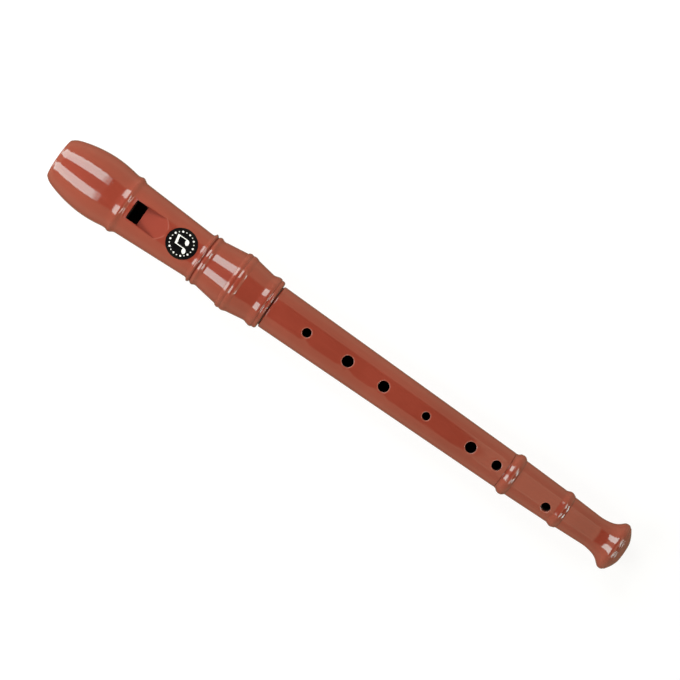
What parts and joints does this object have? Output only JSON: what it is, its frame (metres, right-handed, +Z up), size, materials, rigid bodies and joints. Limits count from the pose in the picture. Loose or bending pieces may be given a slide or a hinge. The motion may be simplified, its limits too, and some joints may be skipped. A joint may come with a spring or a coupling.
{
  "type": "soprano recorder",
  "caption": "Soprano recorder in glossy brown-red plastic, lying with its window and finger holes up; the head slides on its tenon and the foot turns.",
  "frame": {"origin": "centre of the recorder's footprint, on the surface it lies on, under the bore's axis", "axes": "+X along the bore from the beak to the bell, +Z up through the window and badge, +Y across"},
  "size_m": [0.33, 0.0322, 0.0317],
  "materials": {
    "brown_plastic": "glossy",
    "badge_film": "satin"
  },
  "bodies": {
    "middle": {"middle_joint": "brown_plastic"},
    "head": {"mouthpiece": "brown_plastic", "fipple_block": "brown_plastic", "head_tube": "brown_plastic", "badge_label": "badge_film", "socket_collar": "brown_plastic"},
    "foot": {"foot_joint": "brown_plastic", "foot_socket_ring": "brown_plastic"}
  },
  "joints": [
    {"name": "head_slide", "type": "slide", "parent": "middle", "child": "head", "axis": [-1, 0, 0], "range_m": [0, 0.02]},
    {"name": "foot_turn", "type": "hinge", "parent": "middle", "child": "foot", "pos_m": [0.096, 0, 0.01552], "axis": [1, 0, 0], "continuous": true}
  ]
}
